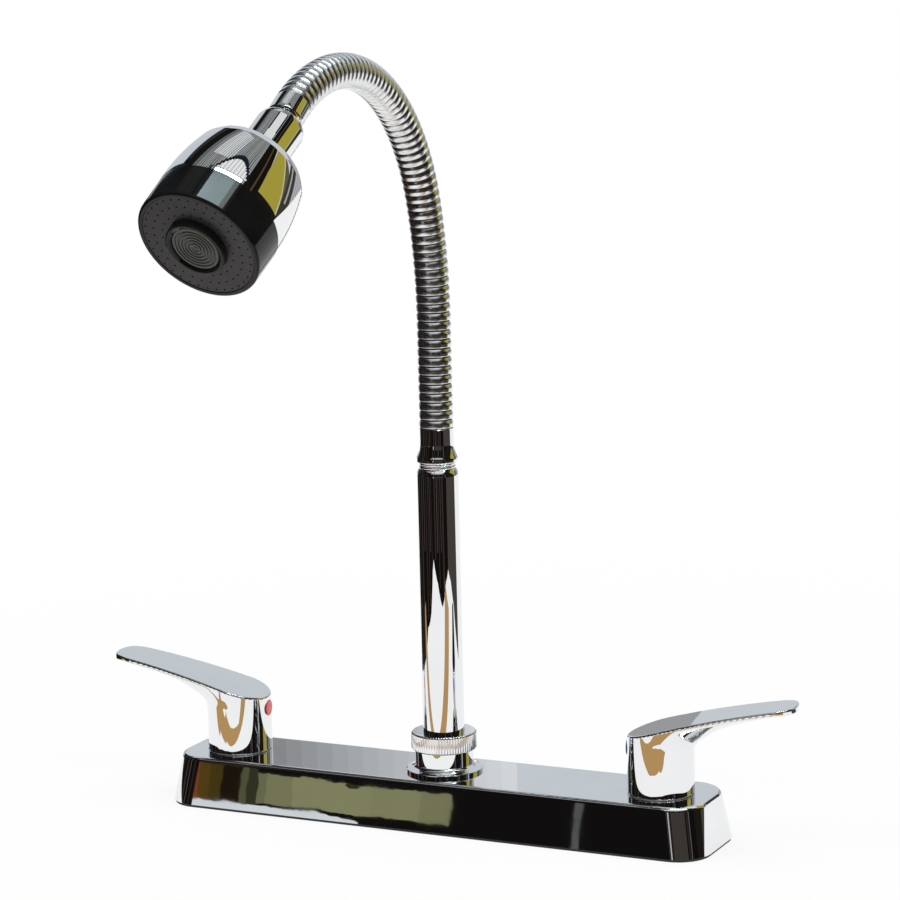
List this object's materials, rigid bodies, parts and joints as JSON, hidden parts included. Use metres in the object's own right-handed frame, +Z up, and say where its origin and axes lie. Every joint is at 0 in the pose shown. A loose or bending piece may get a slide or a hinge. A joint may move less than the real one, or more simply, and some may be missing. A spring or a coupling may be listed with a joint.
{
  "type": "mixer tap",
  "caption": "Deck-mounted mixer tap with lever handles on a slab base, a ribbed bendable gooseneck and a swivelling round spray head with a rocker switch.",
  "frame": {"origin": "on the deck under the spout's axis, at the underside of the gasket and the valve feet", "axes": "+Z up along the upright tube, -Y towards the user, +X to the user's right, where the cold handle is"},
  "size_m": [0.3211, 0.2397, 0.3908],
  "materials": {
    "chrome": "polished",
    "brass": "cast and machined",
    "copper_tube": "drawn",
    "lock_nut": "machined",
    "steel": "plain",
    "ceramic": "lapped",
    "black_rubber": "moulded",
    "white_plastic": "moulded",
    "hose_plastic": "drawn",
    "black_plastic": "gloss",
    "grey_plastic": "satin",
    "mesh_grey": "satin",
    "red_dot": "gloss",
    "blue_dot": "gloss"
  },
  "bodies": {
    "base": {"base_cover": "chrome", "deck_gasket": "black_rubber", "hot_valve_body": "brass", "hot_seat_seal": "black_rubber", "hot_fixed_disc": "ceramic", "hot_cartridge_body": "brass", "hot_bonnet_nut": "brass", "hot_glide_ring": "white_plastic", "hot_waterway": "copper_tube", "cold_valve_body": "brass", "cold_seat_seal": "black_rubber", "cold_fixed_disc": "ceramic", "cold_cartridge_body": "brass", "cold_bonnet_nut": "brass", "cold_glide_ring": "white_plastic", "cold_waterway": "copper_tube", "shank_washers": "steel", "shank_lock_nuts": "lock_nut", "spout_socket": "brass", "spout_flange": "chrome", "knurled_nut": "chrome"},
    "hot_handle": {"hot_lever": "chrome", "hot_spindle": "brass", "hot_moving_disc": "ceramic", "hot_index_plug": "red_dot", "hot_grub_screw": "steel"},
    "cold_handle": {"cold_lever": "chrome", "cold_spindle": "brass", "cold_moving_disc": "ceramic", "cold_index_plug": "blue_dot", "cold_grub_screw": "steel"},
    "spout": {"standpipe": "chrome", "standpipe_o_rings": "black_rubber", "retaining_ring": "steel", "joint_washer": "black_rubber", "lower_ferrule": "chrome", "gooseneck_1": "chrome", "inner_hose": "hose_plastic"},
    "neck_2": {"gooseneck_2": "chrome"},
    "neck_3": {"gooseneck_3": "chrome"},
    "neck_4": {"gooseneck_4": "chrome"},
    "neck_5": {"gooseneck_5": "chrome", "upper_ferrule": "chrome", "ball_stem": "chrome"},
    "ball_liner": {"socket_liner": "white_plastic"},
    "collar": {"swivel_collar": "chrome", "ball_seat": "white_plastic", "collar_o_ring": "black_rubber"},
    "head": {"head_housing": "chrome", "head_manifold": "white_plastic", "face_ring": "black_plastic", "spray_plate": "grey_plastic", "aerator_ring": "black_plastic", "aerator_insert": "mesh_grey", "rocker_pin": "steel"},
    "rocker": {"rocker_switch": "black_plastic", "diverter_cam": "black_plastic"}
  },
  "joints": [
    {"name": "hot_handle_turn", "type": "hinge", "parent": "base", "child": "hot_handle", "pos_m": [-0.1016, 0, 0.0222], "axis": [0, 0, 1], "range_deg": [0, 87]},
    {"name": "cold_handle_turn", "type": "hinge", "parent": "base", "child": "cold_handle", "pos_m": [0.1016, 0, 0.0222], "axis": [0, 0, 1], "range_deg": [-90, 0]},
    {"name": "spout_swivel", "type": "hinge", "parent": "base", "child": "spout", "pos_m": [0, 0, 0.0374], "axis": [0, 0, 1], "continuous": true},
    {"name": "neck_bend_1", "type": "hinge", "parent": "spout", "child": "neck_2", "pos_m": [0, -0.00007, 0.2236], "axis": [0.9989, 0.0471, 0], "range_deg": [-15, 15], "deforming": ["gooseneck_1", "gooseneck_2", "inner_hose"]},
    {"name": "neck_bend_2", "type": "hinge", "parent": "neck_2", "child": "neck_3", "pos_m": [0.0004, -0.00858, 0.27291], "axis": [-0.0445, 0.9441, 0.3266], "range_deg": [-15, 15], "deforming": ["gooseneck_2", "gooseneck_3", "inner_hose"]},
    {"name": "neck_bend_3", "type": "hinge", "parent": "neck_3", "child": "neck_4", "pos_m": [0.00176, -0.03738, 0.31316], "axis": [0.9989, 0.0471, 0], "range_deg": [-15, 15], "deforming": ["gooseneck_3", "gooseneck_4", "inner_hose"]},
    {"name": "neck_bend_4", "type": "hinge", "parent": "neck_4", "child": "neck_5", "pos_m": [0.00394, -0.08346, 0.33113], "axis": [0.9989, 0.0471, 0], "range_deg": [-15, 15], "deforming": ["gooseneck_4", "gooseneck_5", "inner_hose"]},
    {"name": "ball_nod", "type": "hinge", "parent": "neck_5", "child": "ball_liner", "pos_m": [0.00685, -0.14532, 0.31237], "axis": [0.9989, 0.0471, 0], "range_deg": [-15, 15]},
    {"name": "ball_tilt", "type": "hinge", "parent": "ball_liner", "child": "collar", "pos_m": [0.00685, -0.14532, 0.31237], "axis": [0.0265, -0.5629, 0.8261], "range_deg": [-8.4, 21.6]},
    {"name": "head_spin", "type": "hinge", "parent": "collar", "child": "head", "pos_m": [0.0049, -0.16644, 0.29804], "axis": [-0.0762, -0.8251, -0.5598], "continuous": true},
    {"name": "rocker_turn", "type": "hinge", "parent": "head", "child": "rocker", "pos_m": [-0.00653, -0.16496, 0.28133], "axis": [-0.0762, -0.8251, -0.5598], "range_deg": [-5, 5]}
  ]
}
